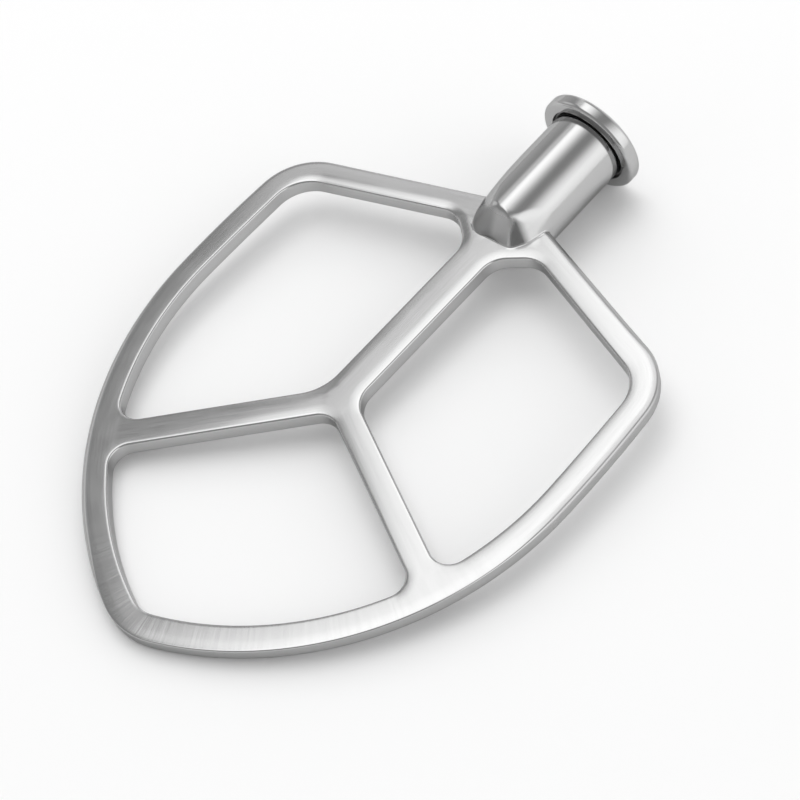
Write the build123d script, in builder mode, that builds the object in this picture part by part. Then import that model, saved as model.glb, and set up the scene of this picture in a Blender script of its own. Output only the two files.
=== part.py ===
from build123d import *
import os
from math import asin, atan2, cos, degrees, hypot, radians, sin, tan

os.makedirs("parts", exist_ok=True)

# One-piece flat beater for a stand mixer: a flat stainless frame with a
# three-armed web, cast in one with a round drive hub and its drip flange.
# Lengths in millimetres, angles in degrees.
#
# The plan is laid out on the frame's middle plane: y runs along the hub axis,
# from the tip of the frame (y < 0) to the flange (y > 0), x is across.

# plate section
plate_t = 5.0          # thickness of the frame and web
crown_w = 3.0          # the faces fall away slightly over this width from each edge
crown_drop = 0.1       # by this much
edge_r_out = 1.6       # rounding of the outer edge
edge_r_in = 0.8        # rounding of the edges of the three windows

# outer outline, a chain of tangent arcs from the tip up each side
tip_y = -82.05
tip_r, tip_arc = 21.2, 21.9
lower_r, lower_arc = 97.0, 66.3
side_r, side_arc = 350.0, 5.4
shoulder_r = 17.9
arm_slope = 17.85      # the arms fall this much from the hub to the shoulders

# inner outline of the rim, the same chain one rim width further in
tip_in_y = -75.15
tip_in_r, tip_in_arc = 8.8, 20.4
lower_in_r, lower_in_arc = 89.8, 69.65
side_in_r, side_in_arc = 830.0, 1.95
shoulder_in_r = 11.0
arm_in_slope = 18.3

# web: a stem from the hub and two branches of unequal slope
node_x, node_y = -0.3, -1.2
stem_w, stem_lean = 9.9, 0.65
stem_x = -1.2          # the stem's foot stands this far off the hub axis
left_w, left_angle = 7.65, 225.0 - 0.65
right_w, right_angle = 7.3, -26.0
foot_x, foot_y = 14.6, 61.2        # where the web's foot under the hub meets the arms
foot_left, foot_right = 38.5, 34.0  # slopes of the foot's two sides, down to the stem

# corner radii of the windows
r_foot = 7.5
r_stem_left = 14.0
r_stem_right = 7.0
r_apex = 5.8
r_rim = 5.5

# hub and drafted nose
hub_r = 11.0
nose_y = 59.0          # front of the nose where it meets the face of the plate
nose_half = 6.1        # half width of that front
nose_side_y = 68.5     # where the slanted cheeks reach the hub's own width
nose_draft = 27.0      # lean of the nose from upright
nose_edge_r = 1.8

# flange
flange_y = 98.2
flange_t = 4.2
flange_r = 15.2
flange_edge_r = 1.2
recess_r = 11.8        # undercut round the hub, in the flange's lower face
recess_d = 1.2

# drive socket: a blind bore with one bayonet slot for the shaft's cross pin
bore_r = 6.5
bore_d = 36.0
mouth_chamfer = 0.8
slot_w = 5.2
slot_r = 9.2
slot_d = 17.0
slot_turn = 48.0

# The beater lies on its flange's rim and on the lower edge of its tip, so the
# frame is pitched up a few degrees towards the hub. Both places are rounded:
# toe and heel are the centres of those two roundings, seen from the side, and
# the floor is the line that touches both from below.
bevel = atan2(crown_drop, crown_w)
toe_y = tip_y + edge_r_out
toe_z = plate_t / 2 - crown_drop + edge_r_out * tan(bevel) - edge_r_out / cos(bevel)
heel_y = flange_y + flange_edge_r
heel_z = flange_r - flange_edge_r
pitch = atan2(heel_z - toe_z, heel_y - toe_y)
pitch += asin((flange_edge_r - edge_r_out) / hypot(heel_z - toe_z, heel_y - toe_y))
sn, cs = sin(pitch), cos(pitch)
z_axis = edge_r_out - toe_y * sn + toe_z * cs
y_front = toe_y * cs - toe_z * sn - edge_r_out
y_back = (flange_y + flange_t - flange_edge_r) * cs + heel_z * sn + flange_edge_r
y_axis = -(y_front + y_back) / 2

mid = Plane(origin=(0, y_axis, z_axis), x_dir=(1, 0, 0), z_dir=(0, -sn, cs))
across = Plane(origin=mid.origin, x_dir=(1, 0, 0), z_dir=(0, cs, sn))   # square to the hub axis
up = Axis(mid.origin, mid.z_dir)

print("pitch", round(degrees(pitch), 3), "plan origin", round(y_axis, 3), round(z_axis, 3))


with BuildPart() as hub:
    # a drafted envelope for the nose, cut down to the hub's round section
    with BuildSketch(mid) as envelope:
        with BuildLine():
            k = (nose_side_y - nose_y) / (hub_r - nose_half)
            Polyline(
                (-nose_half, nose_y),
                (nose_half, nose_y),
                (nose_half + 12, nose_y + 12 * k),
                (nose_half + 12, flange_y + 2),
                (-nose_half - 12, flange_y + 2),
                (-nose_half - 12, nose_y + 12 * k),
                close=True,
            )
        make_face()
    extrude(amount=plate_t / 2, both=True)
    extrude(hub.faces().sort_by(up)[-1], amount=hub_r, taper=nose_draft)
    extrude(hub.faces().sort_by(up)[0], amount=hub_r, taper=nose_draft)
    # soften the slanted corners between the nose's front and its cheeks
    corners = [
        e
        for e in hub.edges().filter_by(GeomType.LINE)
        if abs((e @ 0.5 - mid.origin).dot(across.z_dir) - nose_y) < 6
        and abs((e % 0.5).dot(up.direction)) > 0.5
        and e.length > plate_t + 1
    ]
    fillet(corners, radius=nose_edge_r)
    with BuildSketch(across.offset(nose_y - 2)):
        Circle(hub_r)
    extrude(amount=flange_y + 1 - nose_y + 2, mode=Mode.INTERSECT)
hub.part.label = "hub"


with BuildPart() as plate:
    with BuildSketch(mid):
        with BuildLine():
            tip = JernArc((0, tip_y), (1, 0), tip_r, tip_arc)
            lower = JernArc(tip @ 1, tip % 1, lower_r, lower_arc)
            side = JernArc(lower @ 1, lower % 1, side_r, side_arc)
            turn = 180 - arm_slope - tip_arc - lower_arc - side_arc
            shoulder = JernArc(side @ 1, side % 1, shoulder_r, turn)
            end = shoulder @ 1
            rise_to_hub = end.X * sin(radians(arm_slope)) / cos(radians(arm_slope))
            Line(end, (0, end.Y + rise_to_hub))
            mirror(about=Plane.YZ)
        outline = make_face()
        fillet(outline.vertices().sort_by(Axis.Y)[-1], radius=20)   # inside the hub
    extrude(amount=plate_t / 2, both=True)

    # both faces fall away a little towards the outer edge, which is then rounded
    face = plate.faces().sort_by(up)[-1]
    chamfer(face.edges(), length=crown_w, length2=crown_drop, reference=face)
    face = plate.faces().sort_by(up)[0]
    chamfer(face.edges(), length=crown_w, length2=crown_drop, reference=face)
    level = plate_t / 2 - crown_drop
    rim_edges = [e for e in plate.edges() if abs(abs((e @ 0.5 - mid.origin).dot(up.direction)) - level) < 0.01]
    rim_edges = [e for e in rim_edges if abs((e @ 0 - e @ 1).dot(up.direction)) < 0.01]
    fillet(rim_edges, radius=edge_r_out)

    # the three windows: everything inside the rim but the web
    with BuildSketch(mid) as windows:
        with BuildLine():
            tip = JernArc((0, tip_in_y), (1, 0), tip_in_r, tip_in_arc)
            lower = JernArc(tip @ 1, tip % 1, lower_in_r, lower_in_arc)
            side = JernArc(lower @ 1, lower % 1, side_in_r, side_in_arc)
            turn = 180 - arm_in_slope - tip_in_arc - lower_in_arc - side_in_arc
            shoulder = JernArc(side @ 1, side % 1, shoulder_in_r, turn)
            end = shoulder @ 1
            Line(end, (0, end.Y + end.X * sin(radians(arm_in_slope)) / cos(radians(arm_in_slope))))
            mirror(about=Plane.YZ)
        make_face()
        with Locations((node_x, node_y)):
            Rectangle(120, left_w, rotation=left_angle, align=(Align.MIN, Align.CENTER), mode=Mode.SUBTRACT)
            Rectangle(120, right_w, rotation=right_angle, align=(Align.MIN, Align.CENTER), mode=Mode.SUBTRACT)
        with Locations((stem_x, node_y - 2)):
            Rectangle(120, stem_w, rotation=90 - stem_lean, align=(Align.MIN, Align.CENTER), mode=Mode.SUBTRACT)
        with BuildLine(mode=Mode.PRIVATE) as foot:
            run = foot_x - 3
            fall_left = run * sin(radians(foot_left)) / cos(radians(foot_left))
            fall_right = run * sin(radians(foot_right)) / cos(radians(foot_right))
            Polyline(
                (-foot_x + run, foot_y - fall_left),
                (-foot_x - run, foot_y + fall_left),
                (foot_x + run, foot_y + fall_right),
                (foot_x - run, foot_y - fall_right),
                close=True,
            )
        make_face(foot.edges(), mode=Mode.SUBTRACT)

        def corner(x, y):
            return windows.vertices().sort_by_distance((x, y, 0))[0]

        fillet([corner(-5.5, 54.1), corner(4.4, 54.1), corner(-14.5, 61.2), corner(14.5, 61.2)], radius=r_foot)
        fillet(corner(-6.2, -1.6), radius=r_stem_left)
        fillet(corner(3.8, 0.9), radius=r_stem_right)
        fillet(corner(0.6, -5.7), radius=r_apex)
        fillet([corner(-41.6, -46.9), corner(-46.2, -40.7), corner(52, -30.8), corner(55, -24.1)], radius=r_rim)
    extrude(amount=plate_t, both=True, mode=Mode.SUBTRACT)
    face = plate.faces().sort_by(up)[-1]
    chamfer(face.inner_wires().edges(), length=crown_w, length2=crown_drop, reference=face)
    face = plate.faces().sort_by(up)[0]
    chamfer(face.inner_wires().edges(), length=crown_w, length2=crown_drop, reference=face)
    # the edges of the windows: level with the foot of the crown, on both sides
    window_edges = []
    for e in plate.edges():
        p = e @ 0.5 - mid.origin
        if abs(abs(p.dot(up.direction)) - level) < 0.01 and abs((e @ 0 - e @ 1).dot(up.direction)) < 0.01:
            window_edges.append(e)
    fillet(window_edges, radius=edge_r_in)
plate.part.label = "plate"


with BuildPart() as flat_beater:
    add(plate.part)
    add(hub.part)

    # drip flange, its corners rounded, undercut round the hub on the lower face
    with BuildSketch(across.offset(flange_y)):
        Circle(flange_r)
    extrude(amount=flange_t)
    rim = []
    for e in flat_beater.edges().filter_by(GeomType.CIRCLE):
        if abs(e.radius - flange_r) < 0.01:
            rim.append(e)
    fillet(rim, radius=flange_edge_r)
    with BuildSketch(across.offset(flange_y)):
        Circle(recess_r)
        Circle(hub_r, mode=Mode.SUBTRACT)
    extrude(amount=recess_d, mode=Mode.SUBTRACT)

    # drive socket
    top_y = flange_y + flange_t
    with BuildSketch(across.offset(top_y)):
        Circle(bore_r)
    extrude(amount=-bore_d, mode=Mode.SUBTRACT)
    mouth = [
        e
        for e in flat_beater.edges().filter_by(GeomType.CIRCLE)
        if abs(e.radius - bore_r) < 0.01 and abs((e.arc_center - across.origin).dot(across.z_dir) - top_y) < 0.01
    ]
    chamfer(mouth, length=mouth_chamfer)
    # bayonet: a keyway down the bore, then a pocket turned to one side at its foot
    with BuildSketch(across.offset(top_y)):
        with Locations((0, 0)):
            Rectangle(slot_r, slot_w, align=(Align.MIN, Align.CENTER))
        Circle(slot_r, mode=Mode.INTERSECT)
    extrude(amount=-slot_d, mode=Mode.SUBTRACT)
    with BuildSketch(across.offset(top_y - slot_d)):
        with BuildLine():
            a = asin(slot_w / 2 / slot_r)
            b = a + radians(slot_turn)
            ThreePointArc(
                (slot_r * cos(-a), slot_r * sin(-a)),
                (slot_r * cos((b - a) / 2), slot_r * sin((b - a) / 2)),
                (slot_r * cos(b), slot_r * sin(b)),
            )
            Polyline((slot_r * cos(b), slot_r * sin(b)), (0, 0), (slot_r * cos(-a), slot_r * sin(-a)))
        make_face()
    extrude(amount=slot_w, mode=Mode.SUBTRACT)
flat_beater.part.label = "flat_beater"

box = flat_beater.part.bounding_box()
print("solids", len(flat_beater.part.solids()), "volume", round(flat_beater.part.volume, 1), "valid", flat_beater.part.is_valid)
print("box", box.min, box.max)
export_step(flat_beater.part, "parts/flat_beater.step")
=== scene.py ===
import bpy, bmesh, math
import numpy as np
from mathutils import Matrix, Vector
from mathutils.geometry import delaunay_2d_cdt


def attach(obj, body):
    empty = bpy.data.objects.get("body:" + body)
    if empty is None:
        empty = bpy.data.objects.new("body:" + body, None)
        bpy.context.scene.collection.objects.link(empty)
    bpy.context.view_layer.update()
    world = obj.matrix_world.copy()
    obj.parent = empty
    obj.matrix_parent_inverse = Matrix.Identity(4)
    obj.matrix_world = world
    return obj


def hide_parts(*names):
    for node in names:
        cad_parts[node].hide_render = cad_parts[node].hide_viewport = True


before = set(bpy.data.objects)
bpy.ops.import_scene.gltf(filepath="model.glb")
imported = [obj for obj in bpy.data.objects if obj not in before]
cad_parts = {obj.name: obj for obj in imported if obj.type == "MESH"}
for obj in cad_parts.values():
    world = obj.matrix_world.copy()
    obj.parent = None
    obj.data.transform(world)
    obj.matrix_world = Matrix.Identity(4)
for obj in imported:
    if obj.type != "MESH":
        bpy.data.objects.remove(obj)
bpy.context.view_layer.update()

# ---------------------------------------------------------------- dimensions
# Millimetres in the beater's own plan: x across, y along the hub axis from the
# tip of the frame to the flange, z up from the middle plane of the frame.
plate_t = 5.0
crown_w, crown_drop = 3.3, 0.115
edge_out, edge_in = 1.6, 0.8
hub_r = 11.0
nose_mid_x, nose_mid_y = 0.56, 59.25     # the hub's front is very slightly hollow
front_draft, side_draft, left_draft = math.radians(28.5), math.radians(28.0), math.radians(36.0)
seam_r = 0.3
flange_y, flange_t, flange_r, flange_edge = 98.2, 4.2, 15.2, 1.2
recess_r, recess_d = 11.8, 1.2
bore_r, bore_d, mouth = 6.5, 36.0, 0.8
slot_w, slot_r, slot_d, slot_turn = 5.2, 9.2, 17.0, math.radians(48.0)
top_y = flange_y + flange_t

# how the plan lies in the frame: pitched up towards the hub
pitch = math.radians(4.053958820904509)
y_axis, z_axis = -10.613780036962432, 8.13779757414537
sn, cs = math.sin(pitch), math.cos(pitch)

# closed outlines: x, y and the bulge of the arc to the next point
# (tangent of a quarter of its angle, positive for a left-hand bend)
OUTLINE = [
    (7.9073, -80.5201, 0.297638), (68.6797, 6.4331, 0.023566), (68.1617, 39.4036, 0.308357),
    (55.7839, 55.3180, 0.0), (6.13, 71.308, 0.157045), (-6.13, 71.308, 0.0),
    (-55.7839, 55.3180, 0.308357), (-68.1617, 39.4036, 0.023566), (-68.6797, 6.4331, 0.297638),
    (-7.9073, -80.5201, 0.193475),
]
TIP_WINDOW = [
    (-38.1162, -50.9417, 0.119399), (-3.0674, -74.5981, 0.179928), (3.0674, -74.5981, 0.172372),
    (49.1561, -35.9796, 0.437303), (46.8272, -28.2465, 0.0), (4.2530, -7.4816, 0.316979),
    (-2.3440, -8.5472, 0.0), (-37.8971, -43.3026, 0.404101),
]
RIGHT_WINDOW = [
    (4.3583, 50.3888, 0.0), (3.8467, 5.2922, 0.289817), (7.7776, -1.0787, 0.0),
    (49.5235, -21.4396, 0.455666), (57.1650, -18.1968, 0.078971), (61.5656, 9.6482, 0.008509),
    (61.0603, 37.8905, 0.313860), (53.5210, 47.9503, 0.0), (17.7202, 59.7902, 0.232247),
    (11.1713, 58.8873, 0.0), (7.6639, 56.5215, 0.246318),
]
LEFT_WINDOW = [
    (-41.2741, -35.9058, 0.0), (-10.2784, -5.6055, 0.198912), (-6.0658, 4.2469, 0.0),
    (-5.5434, 50.2930, 0.231558), (-8.3741, 56.2477, 0.0), (-11.0908, 58.4087, 0.253039),
    (-18.1146, 59.6598, 0.0), (-53.5210, 47.9503, 0.313860), (-61.0603, 37.8905, 0.008509),
    (-61.5656, 9.6482, 0.129764), (-49.9047, -34.6833, 0.492199),
]


def smooth(a, b, t):
    s = np.clip((t - a) / (b - a), 0, 1)
    return s * s * (3 - 2 * s)


# ---------------------------------------------------------------- outlines
def trace(rows, step=1.3, turn=math.radians(4.5), fine=None):
    """Points and outward normals along a closed outline that runs anticlockwise."""
    pts, nrm = [], []
    n = len(rows)
    for i in range(n):
        x0, y0, b = rows[i]
        x1, y1, _ = rows[(i + 1) % n]
        p, q = np.array([x0, y0]), np.array([x1, y1])
        d = q - p
        length = np.hypot(*d)
        if abs(b) < 1e-6:
            k = max(1, int(math.ceil(length / step)))
            t = np.arange(k) / k
            seg = p + d * t[:, None]
            m = np.tile([d[1] / length, -d[0] / length], (k, 1))
            if fine is not None:
                seg, m = fine(p, d, length, seg, m)
        else:
            angle = 4 * math.atan(b)
            r = length / 2 / math.sin(abs(angle) / 2)
            mid = (p + q) / 2
            left = np.array([-d[1], d[0]]) / length
            c = mid + left * r * math.cos(angle / 2) * (1 if b > 0 else -1)
            k = max(2, int(math.ceil(max(abs(angle) * r / step, abs(angle) / turn))))
            a0 = math.atan2(*(p - c)[::-1])
            a = a0 + angle * np.arange(k) / k
            seg = c + r * np.c_[np.cos(a), np.sin(a)]
            m = np.c_[np.cos(a), np.sin(a)] * (1 if b > 0 else -1)
        pts.append(seg)
        nrm.append(m)
    return np.vstack(pts), np.vstack(nrm)


def denser_at_hub(p, d, length, seg, m):
    """The arms get closer points where the hub crosses their outer edge."""
    ts = [0.0]
    while ts[-1] < length:
        x = abs((p + d * ts[-1] / length)[0])
        ts.append(ts[-1] + (0.25 if 7.5 < x < 14 else 1.3))
    ts = np.array(ts[:-1])
    if length - ts[-1] < 0.1:
        ts = ts[:-1]
    return p + d * (ts / length)[:, None], np.tile(m[0], (len(ts), 1))


outer_p, outer_n = trace(OUTLINE, fine=denser_at_hub)
outer_n = -outer_n                       # into the metal
windows = [trace(w, step=1.4) for w in (LEFT_WINDOW, RIGHT_WINDOW, TIP_WINDOW)]


# ---------------------------------------------------------------- section
def section(r_top, r_low, drop_top, drop_low):
    """Distance from the edge and height, from the flat of the top round to the flat below."""
    def half(r, drop):
        d_e = r * 0.97
        for _ in range(6):
            beta = math.atan(2 * drop / crown_w * (1 - d_e / crown_w))
            d_e = r - r * math.sin(beta)
        z_e = plate_t / 2 - drop * (1 - d_e / crown_w) ** 2
        zc = z_e - r * math.cos(beta)
        out = []
        for t in np.linspace(0, 1, 7)[:-1]:
            d = crown_w + (d_e - crown_w) * t
            out.append((d, plate_t / 2 - drop * (1 - d / crown_w) ** 2))
        for t in np.linspace(0, 1, 8):
            a = beta + (math.pi / 2 - beta) * t
            out.append((r - r * math.sin(a), zc + r * math.cos(a)))
        return out
    top, low = half(r_top, drop_top), half(r_low, drop_low)
    wall = [(0.0, z) for z in np.linspace(top[-1][1], -low[-1][1], 4)[1:-1]]
    return top + wall + [(d, -z) for d, z in low[::-1]]


verts, faces = [], []


def add_ring_strip(pts, nrm, into, sections):
    """A closed band round one outline. Returns the vertex numbers of its two inner rings."""
    n, m = len(pts), len(sections[0])
    base = len(verts)
    for i in range(n):
        for d, z in sections[i]:
            q = pts[i] + nrm[i] * d
            verts.append((q[0], q[1], z))
    for i in range(n):
        j = (i + 1) % n
        for k in range(m - 1):
            a, b = base + i * m + k, base + i * m + k + 1
            c, e = base + j * m + k + 1, base + j * m + k
            faces.append((a, b, c, e) if into else (a, e, c, b))
    return [base + i * m for i in range(n)], [base + i * m + m - 1 for i in range(n)]


# the outer edge is crisp along the lower right of the rim, soft on the left and
# on the arms, and between the two on the right
ang = np.degrees(np.arctan2(outer_p[:, 1], outer_p[:, 0]))
crisp = smooth(-112, -96, ang) * (1 - smooth(-14, 6, ang))
right_side = smooth(-14, 6, ang) * (1 - smooth(38, 52, ang))
r_top = edge_out + (0.35 - edge_out) * crisp + (0.85 - edge_out) * right_side
outer_sections = [section(r, edge_out, crown_drop, crown_drop) for r in r_top]
top_rings, low_rings = [], []
t, l = add_ring_strip(outer_p, outer_n, True, outer_sections)
top_rings.append(t)
low_rings.append(l)
for p, nrm in windows:
    # the arms are dressed down more towards the windows, and the left of the rim
    # and the left branch less
    arm_side = smooth(-0.3, 0.95, nrm[:, 1]) * smooth(36, 50, p[:, 1]) * (0.21 + 0.79 * (p[:, 0] < 0))
    rim_side = smooth(0.2, 0.8, -nrm[:, 0]) * smooth(-8, -22, p[:, 0])
    tip_side = smooth(0.1, 0.6, -nrm[:, 1]) * smooth(-8, -30, p[:, 1])
    inner_drop = crown_drop + 0.24 * arm_side - 0.09 * np.maximum(0.8 * rim_side, tip_side)
    inner_sections = [section(0.55, edge_in, d, crown_drop) for d in inner_drop]
    t, l = add_ring_strip(p, nrm, False, inner_sections)
    top_rings.append(t[::-1])
    low_rings.append(l[::-1])


# ---------------------------------------------------------------- hub shape
def smax(a, b, r):
    """The larger of two distances, with the edge between them rounded to radius r."""
    ua, ub = np.maximum(a + r, 0), np.maximum(b + r, 0)
    return np.minimum(-r, np.maximum(a, b)) + np.hypot(ua, ub)


def foot(x):
    """The line along which the hub's front meets the frame."""
    return np.where(x < nose_mid_x, nose_mid_y + 0.1766 * (x - nose_mid_x), nose_mid_y - 0.1372 * (x - nose_mid_x))


def hub_dist(x, y, z):
    """Distance to the hub: a round bar whose lower end is cut back to a blunt nose."""
    h = np.maximum(np.abs(z) - plate_t / 2, 0)

    def cut(nx, ny, px, py, draft):
        return (nx * (x - px) + ny * (y - py)) * math.cos(draft) + h * math.sin(draft)

    front = -smax(-cut(0.174, -0.985, nose_mid_x, nose_mid_y, front_draft),
                  -cut(-0.136, -0.991, nose_mid_x, nose_mid_y, front_draft), 1.2)
    front = smax(front, cut(0.393, -0.919, 5.46, 59.08, front_draft), 1.6)
    right = cut(0.825, -0.565, 7.3, 60.83, front_draft)
    left = smax(cut(-0.775, -0.63, -7.6, 59.4, left_draft), cut(-0.894, -0.447, -9.2, 62.1, left_draft), 1.5)
    cheek = -smax(-cut(0.98, -0.199, 8.75, 62.2, side_draft), -cut(0.92, -0.392, 9.2, 66.2, side_draft), 1.5)
    far = cut(-0.98, -0.199, -9.9, 63.9, side_draft)
    nose = smax(smax(front, right, 0.6), smax(left, far, 1.2), 2.6)
    return smax(smax(nose, cheek, 0.5), np.hypot(x, z) - hub_r, 2.1 - 1.2 * smooth(1.0, 5.0, x))


arm = math.radians(17.85)


def plate_dist(x, y, z):
    """Distance to the frame, good near the hub, where the arms' outer edges are its only edges."""
    inside = 73.2819 * math.cos(arm) - (np.abs(x) * math.sin(arm) + y * math.cos(arm))
    r = edge_out
    qx, qz = r - inside, np.abs(z) - plate_t / 2 + r
    return np.hypot(np.maximum(qx, 0), np.maximum(qz, 0)) + np.minimum(np.maximum(qx, qz), 0) - r


def cast_dist(x, y, z):
    a, b = plate_dist(x, y, z), hub_dist(x, y, z)
    r = seam_r
    u = np.hypot(np.maximum(r - a, 0), np.maximum(r - b, 0))
    return np.maximum(r, np.minimum(a, b)) - u


def settle(p):
    """Moves points onto the surface that joins frame and hub with a small fillet."""
    p = p.copy()
    e = 1e-3
    for _ in range(12):
        f = cast_dist(*p.T)
        g = np.stack([
            cast_dist(p[:, 0] + e, p[:, 1], p[:, 2]) - cast_dist(p[:, 0] - e, p[:, 1], p[:, 2]),
            cast_dist(p[:, 0], p[:, 1] + e, p[:, 2]) - cast_dist(p[:, 0], p[:, 1] - e, p[:, 2]),
            cast_dist(p[:, 0], p[:, 1], p[:, 2] + e) - cast_dist(p[:, 0], p[:, 1], p[:, 2] - e),
        ], 1) / (2 * e)
        g2 = np.maximum((g * g).sum(1), 0.2)
        p -= 0.8 * g * (f / g2)[:, None]
    return p


# ---------------------------------------------------------------- flats of the frame
def inside_poly(q, poly):
    x, y = q[:, 0][:, None], q[:, 1][:, None]
    x0, y0 = poly[:, 0], poly[:, 1]
    x1, y1 = np.roll(x0, -1), np.roll(y0, -1)
    cross = (y0 > y) != (y1 > y)
    with np.errstate(divide="ignore", invalid="ignore"):
        xi = x0 + (y - y0) * (x1 - x0) / (y1 - y0)
    return (cross & (x < xi)).sum(1) % 2 == 1


def footprint(level):
    """Points round the hub's foot on the face of the frame, at this distance from the hub."""
    out = []
    c = np.array([0.0, 66.0])
    for a in np.radians(np.arange(0, 360, 1.6)):
        u = np.array([math.cos(a), math.sin(a)])
        lo, hi = 0.0, 22.0
        for _ in range(40):
            m = (lo + hi) / 2
            q = c + u * m
            if hub_dist(q[0], q[1], plate_t / 2) < level:
                lo = m
            else:
                hi = m
        out.append(c + u * lo)
    return np.array(out)


seam_points = np.vstack([footprint(k * seam_r) for k in (1.15, 0.9, 0.66, 0.45, 0.25, 0.08, -0.15, -0.5, -1.0, -1.6)])


def add_flat(rings, z, up):
    idx = [i for r in rings for i in r]
    pts = np.array([verts[i][:2] for i in idx])
    polys = [np.array([verts[i][:2] for i in r]) for r in rings]
    extra = seam_points[inside_poly(seam_points, polys[0])]
    for w in polys[1:]:
        extra = extra[~inside_poly(extra, w)]
    dist = np.min(np.hypot(extra[:, None, 0] - pts[None, :, 0], extra[:, None, 1] - pts[None, :, 1]), 1)
    extra = extra[dist > 0.18]
    edges, k = [], 0
    for r in rings:
        n = len(r)
        edges += [(k + i, k + (i + 1) % n) for i in range(n)]
        k += n
    allp = [Vector(p) for p in np.vstack([pts, extra])]
    vs, _, tris, orig, _, _ = delaunay_2d_cdt(allp, edges, [], 0, 1e-5)
    number = []
    for v, o in zip(vs, orig):
        first = [i for i in o if i < len(idx)]
        if first:
            number.append(idx[first[0]])
        else:
            number.append(len(verts))
            verts.append((v[0], v[1], z))
    v2 = np.array([[v[0], v[1]] for v in vs])
    tri = np.array([t for t in tris])
    mid = v2[tri].mean(1)
    e1, e2 = v2[tri[:, 1]] - v2[tri[:, 0]], v2[tri[:, 2]] - v2[tri[:, 0]]
    size = np.abs(e1[:, 0] * e2[:, 1] - e1[:, 1] * e2[:, 0])
    metal = inside_poly(mid, polys[0])
    for w in polys[1:]:
        metal &= ~inside_poly(mid, w)
    # the outlines part metal from air; a sliver takes its side from its neighbours
    out_id = {i: k for k, o in enumerate(orig) for i in o}
    fence = {frozenset((out_id[a], out_id[b])) for a, b in edges}
    beside = {}
    for k, t in enumerate(tri):
        for a, b in ((t[0], t[1]), (t[1], t[2]), (t[2], t[0])):
            beside.setdefault(frozenset((int(a), int(b))), []).append(k)
    side = [None] * len(tri)
    for k in np.argsort(-size):
        if side[k] is not None:
            continue
        side[k], todo = bool(metal[k]), [k]
        while todo:
            t = tri[todo.pop()]
            for a, b in ((t[0], t[1]), (t[1], t[2]), (t[2], t[0])):
                key = frozenset((int(a), int(b)))
                if key in fence:
                    continue
                for m in beside[key]:
                    if side[m] is None:
                        side[m] = side[k]
                        todo.append(m)
    keep = np.array(side)
    for t in tri[keep]:
        a, b, c = v2[t]
        ccw = (b[0] - a[0]) * (c[1] - a[1]) - (b[1] - a[1]) * (c[0] - a[0]) > 0
        f = [number[i] for i in t]
        faces.append(tuple(f if ccw == up else f[::-1]))


add_flat(top_rings, plate_t / 2, True)
add_flat(low_rings, -plate_t / 2, False)
verts = np.array(verts)
near = (np.abs(verts[:, 0]) < 16) & (verts[:, 1] > 54)
hd = hub_dist(*verts.T)
near &= (hd > -1.7 * seam_r) & (hd < 1.2 * seam_r)
verts[near] = settle(verts[near])
plate_verts, plate_faces = verts, faces

# ---------------------------------------------------------------- hub, flange and bore
# columns round the hub, closest together where its foot crosses the frame's faces
cols = 300
theta = np.linspace(0, 2 * math.pi, 7201)
weight = 1 + 1.9 * smooth(0.16, 0.24, np.abs(np.sin(theta))) * (1 - smooth(0.55, 0.8, np.abs(np.sin(theta))))
total_w = np.concatenate([[0], np.cumsum((weight[1:] + weight[:-1]) / 2)])
theta = np.interp(np.arange(cols) * total_w[-1] / cols, total_w, theta)
ct, st = np.cos(theta), np.sin(theta)


def hub_row(t):
    """One row of the hub's skin. The first rows bend with the foot of the front."""
    w = 1 - smooth(60.0, 67.0, t)
    at = lambda m: t + w * (foot(np.clip(m * ct, -7.0, 7.0)) - nose_mid_y)
    lo, hi = np.zeros(cols), np.full(cols, 14.0)
    for _ in range(40):
        m = (lo + hi) / 2
        inside = hub_dist(m * ct, at(m), m * st) < 0
        lo, hi = np.where(inside, m, lo), np.where(inside, hi, m)
    return lo, at(lo)


ys = np.concatenate([
    np.arange(nose_mid_y + 0.02, 66.0, 0.16), np.arange(66.0, 73.0, 0.28), [73.6, 75, 78, 82, 86, 90, 94, 96.5, 97.9, 98.2, 98.35, 98.75],
])
rows = [hub_row(y) for y in ys]


def ring(r, y):
    rows.append((np.full(cols, float(r)), np.full(cols, float(y))))


def arc(cr, cy, r, a0, a1, n):
    for a in np.radians(np.linspace(a0, a1, n)):
        ring(cr + r * math.cos(a), cy + r * math.sin(a))


ring(hub_r, flange_y + recess_d - 0.35)
arc(hub_r + 0.3, flange_y + recess_d - 0.3, 0.3, 180, 90, 4)
arc(recess_r - 0.3, flange_y + recess_d - 0.3, 0.3, 90, 0, 4)
ring(recess_r, flange_y + 0.35)
arc(recess_r + 0.25, flange_y + 0.25, 0.25, 180, 270, 4)
arc(flange_r - flange_edge, flange_y + flange_edge, flange_edge, 270, 360, 8)
ring(flange_r, flange_y + flange_t / 2)
arc(flange_r - flange_edge, top_y - flange_edge, flange_edge, 0, 90, 8)
ring(bore_r + mouth + 0.15, top_y)
ring(bore_r + mouth - 0.05, top_y - 0.05)
ring(bore_r + 0.05, top_y - mouth + 0.05)
ring(bore_r, top_y - mouth - 0.15)
for y in np.linspace(top_y - 3, top_y - bore_d + 0.6, 6):
    ring(bore_r, y)
arc(bore_r - 0.5, top_y - bore_d + 0.5, 0.5, 0, -90, 4)

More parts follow.
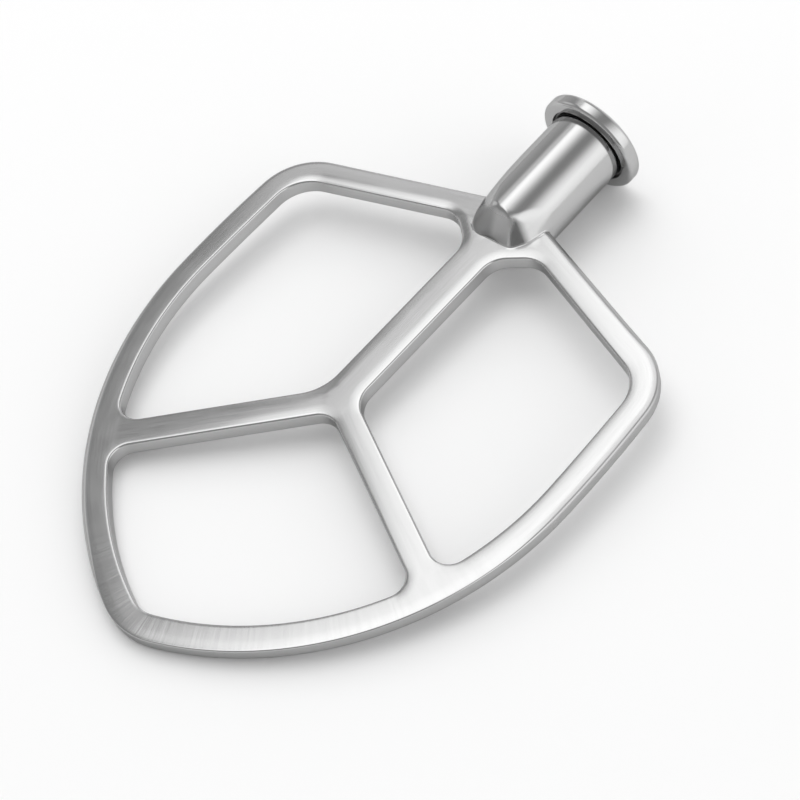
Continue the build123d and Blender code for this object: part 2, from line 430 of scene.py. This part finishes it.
hub_verts, hub_faces = [], []
for r, y in rows:
    hub_verts.append(np.stack([r * ct, y, r * st], 1))
hub_verts = np.vstack(hub_verts)
nr = len(rows)
for i in range(nr - 1):
    for j in range(cols):
        k = (j + 1) % cols
        hub_faces.append((i * cols + j, (i + 1) * cols + j, (i + 1) * cols + k, i * cols + k))
hub_faces.append(tuple(range(cols)))
hub_faces.append(tuple((nr - 1) * cols + j for j in range(cols))[::-1])
hub_skin_and_nose_shade = np.zeros(len(hub_verts), bool)
hub_skin_and_nose_shade[: len(ys) * cols] = True
pd = plate_dist(*hub_verts.T)
near = hub_skin_and_nose_shade & (pd > -1.7 * seam_r) & (pd < 1.2 * seam_r)
hub_verts[near] = settle(hub_verts[near])


def to_frame(v):
    v = np.asarray(v, float)
    return np.stack([
        v[:, 0], y_axis + v[:, 1] * cs - v[:, 2] * sn, z_axis + v[:, 1] * sn + v[:, 2] * cs,
    ], 1) / 1000


def mesh_object(name, v, f):
    me = bpy.data.meshes.new(name)
    me.from_pydata([tuple(p) for p in to_frame(v)], [], f)
    me.validate()
    ob = bpy.data.objects.new(name, me)
    bpy.context.scene.collection.objects.link(ob)
    return ob


def slot_cutter(name, poly, y0, y1):
    """A prism round the hub axis. poly is in the plane square to the axis, z up."""
    n = len(poly)
    v = [(x, y0, z) for x, z in poly] + [(x, y1, z) for x, z in poly]
    f = [tuple(range(n)), tuple(range(n, 2 * n))[::-1]]
    f += [(i, n + i, n + (i + 1) % n, (i + 1) % n) for i in range(n)]
    ob = mesh_object(name, v, f)
    bm = bmesh.new()
    bm.from_mesh(ob.data)
    bmesh.ops.recalc_face_normals(bm, faces=bm.faces)
    bm.to_mesh(ob.data)
    bm.free()
    return ob


hub = mesh_object("hub_work", hub_verts, hub_faces)
bm = bmesh.new()
bm.from_mesh(hub.data)
bmesh.ops.recalc_face_normals(bm, faces=bm.faces)
bm.to_mesh(hub.data)
bm.free()
half = math.asin(slot_w / 2 / slot_r)
key = [(0, -slot_w / 2)] + [(slot_r * math.cos(a), slot_r * math.sin(a)) for a in np.linspace(-half, half, 9)] + [(0, slot_w / 2)]
pocket = [(0, 0)] + [(slot_r * math.cos(a), -slot_r * math.sin(a)) for a in np.linspace(-half, half + slot_turn, 25)]
for name, poly, y0, y1 in (("key", key, top_y - slot_d, top_y + 1), ("pocket", pocket, top_y - slot_d, top_y - slot_d + slot_w)):
    cut = slot_cutter(name, poly, y0, y1)
    m = hub.modifiers.new(name, "BOOLEAN")
    m.operation, m.solver, m.object = "DIFFERENCE", "EXACT", cut
    dg = bpy.context.evaluated_depsgraph_get()
    done = bpy.data.meshes.new_from_object(hub.evaluated_get(dg))
    hub.modifiers.clear()
    hub.data = done
    bpy.data.objects.remove(cut)

# one piece: frame and hub in one mesh
n0 = len(plate_verts)
hv = np.empty(len(hub.data.vertices) * 3)
hub.data.vertices.foreach_get("co", hv)
hv = hv.reshape(-1, 3) * 1000
hv = np.stack([hv[:, 0], (hv[:, 1] - y_axis) * cs + (hv[:, 2] - z_axis) * sn, -(hv[:, 1] - y_axis) * sn + (hv[:, 2] - z_axis) * cs], 1)
hf = [tuple(n0 + i for i in p.vertices) for p in hub.data.polygons]
bpy.data.objects.remove(hub)
plan = np.vstack([plate_verts, hv])
beater = mesh_object("beater", plan, plate_faces + hf)
me = beater.data
plan = plan[: len(me.vertices)]
for p in me.polygons:
    p.use_smooth = True
me.set_sharp_from_angle(angle=math.radians(38))

# ---------------------------------------------------------------- grain
# Brushing follows the rim on the left and at the top, and runs along the web and
# the hub. The lower right of the rim was rubbed down across its width.
x, y, z = plan.T
seg_p, seg_n = trace(OUTLINE, step=0.6, turn=math.radians(1.5))
seg_s = np.concatenate([[0], np.cumsum(np.hypot(*np.diff(seg_p, axis=0).T))])
best_total = seg_s[-1] + np.hypot(*(seg_p[0] - seg_p[-1]))
best_s, best_d = np.zeros(len(x)), np.full(len(x), 1e9)
tan = np.zeros((len(x), 2))
for i0 in range(0, len(x), 4000):
    sl = slice(i0, i0 + 4000)
    d2 = (x[sl, None] - seg_p[:, 0]) ** 2 + (y[sl, None] - seg_p[:, 1]) ** 2
    k = d2.argmin(1)
    t = np.stack([-seg_n[k, 1], seg_n[k, 0]], 1)
    off = (x[sl] - seg_p[k, 0]) * t[:, 0] + (y[sl] - seg_p[k, 1]) * t[:, 1]
    best_s[sl] = seg_s[k] + off
    best_d[sl] = np.sqrt(d2[np.arange(len(k)), k])
    tan[sl] = t
is_hub = np.arange(len(x)) >= n0
w_rim = (1 - smooth(6.6, 9.5, best_d)) * ~is_hub
round_ = np.degrees(np.arctan2(y, x))
w_cross = smooth(-118, -106, round_) * (1 - smooth(-22, 0, round_)) * (1 - smooth(7.5, 9.5, best_d)) * ~is_hub


def lobe(px, py, angle, width):
    """1 on a bar's centre line from (px, py) at this angle, 0 away from it."""
    u = (x - px) * math.cos(angle) + (y - py) * math.sin(angle)
    v = -(x - px) * math.sin(angle) + (y - py) * math.cos(angle)
    return np.where(u > 0, 1 - smooth(width * 0.45, width * 0.8, np.abs(v)), 0)


left_a, right_a = math.radians(224.35), math.radians(-26)
w_left = lobe(-0.3, -1.2, left_a, 8) * smooth(1, 7, np.hypot(x + 0.3, y + 1.2))
w_right = lobe(-0.3, -1.2, right_a, 8) * smooth(1, 7, np.hypot(x + 0.3, y + 1.2))
w_left *= (1 - w_rim) * ~is_hub
w_right *= (1 - w_rim) * ~is_hub
w_long = np.clip(1 - w_rim - w_left - w_right, 0, 1)
dirs = (w_rim[:, None] * np.c_[tan, np.zeros(len(x))]
        + w_left[:, None] * np.array([math.cos(left_a), math.sin(left_a), 0])
        + w_right[:, None] * np.array([math.cos(right_a), math.sin(right_a), 0])
        + w_long[:, None] * np.array([0, 1, 0]))
dirs /= np.maximum(np.linalg.norm(dirs, axis=1), 1e-6)[:, None]
dirs = np.stack([dirs[:, 0], dirs[:, 1] * cs - dirs[:, 2] * sn, dirs[:, 1] * sn + dirs[:, 2] * cs], 1)


def put(name, kind, data):
    a = me.attributes.new(name, kind, "POINT")
    a.data.foreach_set("vector" if kind == "FLOAT_VECTOR" else "value", np.ascontiguousarray(data, np.float32).ravel())


rot = lambda a: np.c_[x * math.cos(a) + y * math.sin(a), -x * math.sin(a) + y * math.cos(a), z]
turns = 2 * math.pi * best_s / best_total
ring_r = best_total / (2 * math.pi)
put("grain_rim", "FLOAT_VECTOR", np.c_[ring_r * np.cos(turns), ring_r * np.sin(turns), best_d + z])
put("grain_left", "FLOAT_VECTOR", rot(left_a))
put("grain_right", "FLOAT_VECTOR", rot(right_a))
ang_h = np.arctan2(z, x) * hub_r
put("grain_long", "FLOAT_VECTOR", np.c_[y, np.where(is_hub, ang_h, x), np.where(is_hub, np.hypot(x, z), z)])
put("on_rim", "FLOAT", w_rim)
put("on_cross", "FLOAT", w_cross)
put("on_left", "FLOAT", w_left)
put("on_right", "FLOAT", w_right)
put("grain_dir", "FLOAT_VECTOR", dirs)
# painted shade: the recess behind the flange, and the bore less so, are darkened in the base colour and made rougher
hollow_shade = np.where(is_hub & (y > flange_y + 0.1) & (y < flange_y + recess_d + 0.1) & (np.hypot(x, z) < recess_r + 0.15), 1.0, 0.0)
bore = np.where(is_hub & (np.hypot(x, z) < bore_r + 0.3) & (y > 64), 1.0, 0.0)
put("hollow_shade", "FLOAT", np.maximum(hollow_shade, bore * 0.6))
on_right_side = smooth(-14, 6, round_) * (1 - smooth(95, 125, round_))
put("rubbed", "FLOAT", (1 - smooth(1.1, 2.3, best_d)) * ~is_hub * (0.3 + 0.7 * on_right_side)
    * (1 - smooth(-112, -96, round_) * (1 - smooth(-14, 6, round_))))
# the top of the nose is rougher, as a casting skin, and its left side is darker in the base colour: painted shade
nose_dull_and_shade = is_hub & (z > plate_t / 2 - 0.5)
put("cast", "FLOAT", nose_dull_and_shade * (1 - smooth(4.6, 5.8, x)) * (1 - smooth(61.5, 65.0, y - 0.2 * np.abs(x))) * (1 - smooth(9.2, 10.4, z)))
put("nose_dull_and_shade", "FLOAT", nose_dull_and_shade * (1 - smooth(-1.6, 0.9, x)) * smooth(-9.5, -6.0, x) * (1 - smooth(61.5, 67.0, y - 0.35 * x)) * (1 - smooth(9.2, 10.6, z)))

# ---------------------------------------------------------------- material
mat = bpy.data.materials.new("brushed_steel")
mat.use_nodes = True
nt = mat.node_tree
N, L = nt.nodes, nt.links
for nd in list(N):
    N.remove(nd)


def node(kind, **kw):
    nd = N.new(kind)
    for k, v in kw.items():
        setattr(nd, k, v)
    return nd


def setin(nd, name, v):
    if hasattr(v, "is_output") or isinstance(v, bpy.types.NodeSocket):
        L.new(v, nd.inputs[name])
    else:
        nd.inputs[name].default_value = v


def math_(op, a, b=None, clamp=False):
    nd = node("ShaderNodeMath", operation=op, use_clamp=clamp)
    setin(nd, 0, a)
    if b is not None:
        setin(nd, 1, b)
    return nd.outputs[0]


def attr(name, out="Fac"):
    return node("ShaderNodeAttribute", attribute_name=name).outputs[out]


def noise(vec, scale_vec, scale, detail=2.0, rough=0.5):
    mp = node("ShaderNodeMapping")
    setin(mp, "Vector", vec)
    mp.inputs["Scale"].default_value = scale_vec
    nz = node("ShaderNodeTexNoise")
    setin(nz, "Vector", mp.outputs[0])
    setin(nz, "Scale", scale)
    setin(nz, "Detail", detail)
    setin(nz, "Roughness", rough)
    return nz.outputs["Fac"]


def lerp(a, b, t):
    nd = node("ShaderNodeMix", data_type="FLOAT")
    setin(nd, 0, t)
    setin(nd, 2, a)
    setin(nd, 3, b)
    return nd.outputs[0]


def grained(scale_vec, scale, detail, rough=0.5):
    along, across = scale_vec[0], scale_vec[1]
    g = noise(attr("grain_long", "Vector"), scale_vec, scale, detail, rough)
    g = lerp(g, noise(attr("grain_left", "Vector"), scale_vec, scale, detail, rough), attr("on_left"))
    g = lerp(g, noise(attr("grain_right", "Vector"), scale_vec, scale, detail, rough), attr("on_right"))
    g = lerp(g, noise(attr("grain_rim", "Vector"), (along, along, across), scale, detail, rough), attr("on_rim"))
    return lerp(g, noise(attr("grain_rim", "Vector"), (across, across, along), scale, detail, rough), attr("on_cross"))


fine = grained((0.05, 1.6, 1.6), 2.2, 3.0, 0.6)        # the brush marks
streak = grained((0.03, 0.55, 0.55), 1.0, 2.0, 0.5)    # broader passes of the brush
tex = node("ShaderNodeTexCoord")
cloud = noise(tex.outputs["Object"], (1, 1, 1), 90.0, 3.0, 0.55)   # hand-finished unevenness

bsdf = node("ShaderNodeBsdfPrincipled")
out = node("ShaderNodeOutputMaterial")
L.new(bsdf.outputs[0], out.inputs[0])
ramp = node("ShaderNodeMix", data_type="RGBA")
tone = math_("ADD", math_("MULTIPLY", streak, 0.6), math_("MULTIPLY", cloud, 0.4))
setin(ramp, 0, tone)
ramp.inputs[6].default_value = (0.47, 0.47, 0.47, 1)
ramp.inputs[7].default_value = (0.53, 0.53, 0.53, 1)
# painted shade: the base colour goes towards 0.09 in the recess and, less, in the bore
dark = node("ShaderNodeMix", data_type="RGBA")
setin(dark, 0, math_("MULTIPLY", attr("hollow_shade"), 0.6))
L.new(ramp.outputs[2], dark.inputs[6])
dark.inputs[7].default_value = (0.09, 0.09, 0.09, 1)
# painted shade: the base colour goes to 0.33 on the nose's left side
hub_skin_and_nose_shade = node("ShaderNodeMix", data_type="RGBA")
setin(hub_skin_and_nose_shade, 0, attr("nose_dull_and_shade"))
L.new(dark.outputs[2], hub_skin_and_nose_shade.inputs[6])
hub_skin_and_nose_shade.inputs[7].default_value = (0.33, 0.33, 0.33, 1)
L.new(hub_skin_and_nose_shade.outputs[2], bsdf.inputs["Base Color"])
bsdf.inputs["Specular Tint"].default_value = (0.6, 0.6, 0.6, 1)
bsdf.inputs["Metallic"].default_value = 1.0
rg = math_("ADD", 0.05, math_("MULTIPLY", fine, 0.12))
rg = math_("ADD", rg, math_("MULTIPLY", cloud, 0.06))
rg = math_("ADD", rg, math_("MULTIPLY", attr("rubbed"), 0.16))
rg = math_("ADD", rg, math_("MULTIPLY", attr("cast"), 0.24))
L.new(math_("ADD", rg, math_("MULTIPLY", attr("hollow_shade"), 0.2)), bsdf.inputs["Roughness"])
bsdf.inputs["Anisotropic"].default_value = 0.65
bsdf.inputs["Anisotropic Rotation"].default_value = 0.25     # glints spread across the grain
L.new(attr("grain_dir", "Vector"), bsdf.inputs["Tangent"])
bump = node("ShaderNodeBump")
bump.inputs["Strength"].default_value = 0.35
bump.inputs["Distance"].default_value = 0.000012
L.new(math_("ADD", math_("MULTIPLY", fine, 0.6), math_("MULTIPLY", streak, math_("ADD", 1.0, math_("MULTIPLY", attr("on_cross"), 0.9)))), bump.inputs["Height"])
L.new(bump.outputs[0], bsdf.inputs["Normal"])
me.materials.append(mat)

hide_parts("flat_beater")
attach(beater, "root")

# ---------------------------------------------------------------- floor, light, camera
s = 4.0
fm = bpy.data.meshes.new("floor")
fm.from_pydata([(-s, -s, 0), (s, -s, 0), (s, s, 0), (-s, s, 0)], [], [(0, 1, 2, 3)])
floor = bpy.data.objects.new("floor", fm)
bpy.context.scene.collection.objects.link(floor)
pale = bpy.data.materials.new("pale_floor")
pale.use_nodes = True
pb = pale.node_tree.nodes["Principled BSDF"]
pb.inputs["Base Color"].default_value = (0.96, 0.96, 0.96, 1)
pb.inputs["Roughness"].default_value = 1.0
pb.inputs["Specular IOR Level"].default_value = 0.0
fm.materials.append(pale)

# The studio round the object: a large soft box above it on the left, a lower
# one on the right, and plain grey walls, darker on the viewer's side.
world = bpy.context.scene.world or bpy.data.worlds.new("World")
bpy.context.scene.world = world
world.use_nodes = True
nt = world.node_tree
N, L = nt.nodes, nt.links
for nd in list(N):
    N.remove(nd)
tc = node("ShaderNodeTexCoord")
sep = node("ShaderNodeSeparateXYZ")
L.new(tc.outputs["Generated"], sep.inputs[0])
rx, ry, rz = sep.outputs
yp = math_("ADD", math_("MULTIPLY", ry, cs), math_("MULTIPLY", rz, sn))
zp = math_("SUBTRACT", math_("MULTIPLY", rz, cs), math_("MULTIPLY", ry, sn))


def step_(v, a, b, to0=0.0, to1=1.0):
    nd = node("ShaderNodeMapRange", interpolation_type="SMOOTHSTEP")
    setin(nd, "Value", v)
    nd.inputs["From Min"].default_value = a
    nd.inputs["From Max"].default_value = b
    nd.inputs["To Min"].default_value = to0
    nd.inputs["To Max"].default_value = to1
    return nd.outputs[0]


low = step_(zp, 0.12, 0.25, 1.0, 0.0)
front = math_("MULTIPLY", step_(yp, -0.30, -0.55), math_("MULTIPLY", low, step_(rx, 0.2, 0.45, 0.35, 1.0)))
walls = math_("ADD", 0.37, step_(zp, 0.0, 0.75, 0.30, 0.0))
walls = math_("ADD", walls, step_(yp, 0.65, 0.95, 0.0, 0.35))
walls = math_("MULTIPLY", walls, math_("SUBTRACT", 1.0, math_("MULTIPLY", front, 0.85)))
side = math_("MULTIPLY", step_(rx, -0.72, -0.59), step_(rx, -0.56, -0.49, 1.0, 0.0))
side = math_("MULTIPLY", side, step_(yp, 0.28, 0.34))
q = math_("SUBTRACT", rx, math_("MULTIPLY", step_(yp, 0.285, 0.345, 0.0, 0.045), step_(rx, -0.515, -0.49, 1.0, 0.0)))
box_ = math_("ADD", step_(q, -0.545, -0.523, 0.0, 1.12), step_(q, -0.53, -0.41, 0.0, 0.60))
box_ = math_("MULTIPLY", box_, step_(rx, -0.42, 0.255, 1.0, 0.0))
box_ = math_("MULTIPLY", box_, step_(yp, 0.48, 0.65, 1.0, 0.0))
near_end = math_("MULTIPLY", step_(yp, -0.30, -0.05), step_(rx, -0.50, -0.38))
box_ = math_("MULTIPLY", box_, math_("MAXIMUM", step_(yp, -0.03, 0.12), near_end))
box_ = math_("MULTIPLY", box_, step_(zp, 0.2, 0.5))
fill = math_("MULTIPLY", step_(rx, 0.41, 0.84), step_(yp, -0.38, -0.12))
fill = math_("MULTIPLY", fill, step_(zp, 0.0, 0.35, 0.7, 1.0))
total = math_("ADD", walls, math_("ADD", box_, math_("MULTIPLY", fill, 1.1)))
total = math_("ADD", total, math_("MULTIPLY", side, 0.62))
# light that comes back off the table in front of the beater
low_left = math_("MULTIPLY", step_(rx, -0.66, -0.76, 0.0, 1.0), step_(zp, 0.2, 0.4))
low_left = math_("MULTIPLY", low_left, math_("MULTIPLY", step_(yp, 0.12, 0.22, 1.0, 0.0), step_(yp, -0.40, -0.25)))
total = math_("ADD", total, math_("MULTIPLY", low_left, 0.45))
glow = math_("MULTIPLY", step_(yp, -0.42, -0.58), step_(rx, -0.72, -0.62))
glow = math_("MULTIPLY", glow, step_(rx, -0.1, 0.05, 1.0, 0.0))
glow = math_("MULTIPLY", glow, math_("MULTIPLY", step_(zp, 0.16, 0.28), step_(zp, 0.55, 0.75, 1.0, 0.0)))
total = math_("ADD", total, math_("MULTIPLY", glow, 0.15))
bg = node("ShaderNodeBackground")
bg.inputs["Color"].default_value = (1, 1, 1, 1)
L.new(total, bg.inputs["Strength"])
wo = node("ShaderNodeOutputWorld")
L.new(bg.outputs[0], wo.inputs[0])


def area(name, loc, size, watts, shown=True):
    li = bpy.data.lights.new(name, "AREA")
    li.shape, li.size, li.size_y, li.energy = "RECTANGLE", size, size, watts
    ob = bpy.data.objects.new(name, li)
    bpy.context.scene.collection.objects.link(ob)
    ob.location = loc
    ob.rotation_euler = (-Vector(loc)).to_track_quat("-Z", "Y").to_euler()
    ob.visible_glossy = shown
    return ob


area("overhead", (-0.8, 0.9, 2.3), 3.2, 31.0, False)

scene = bpy.context.scene
scene.view_settings.view_transform = "Standard"
scene.view_settings.look = "None"
cam = bpy.data.cameras.new("camera")
cam.sensor_width = 36.0
cam.lens = 101.2712
cam.clip_start = 0.01
camera = bpy.data.objects.new("camera", cam)
scene.collection.objects.link(camera)
camera.matrix_world = Matrix((
    (0.72316, -0.46846, 0.507528, 0.303501),
    (0.668457, 0.659608, -0.343631, -0.199810),
    (-0.173792, 0.587761, 0.790148, 0.462771),
    (0, 0, 0, 1),
))
scene.camera = camera

print("triangles", sum(len(p.vertices) - 2 for p in me.polygons))
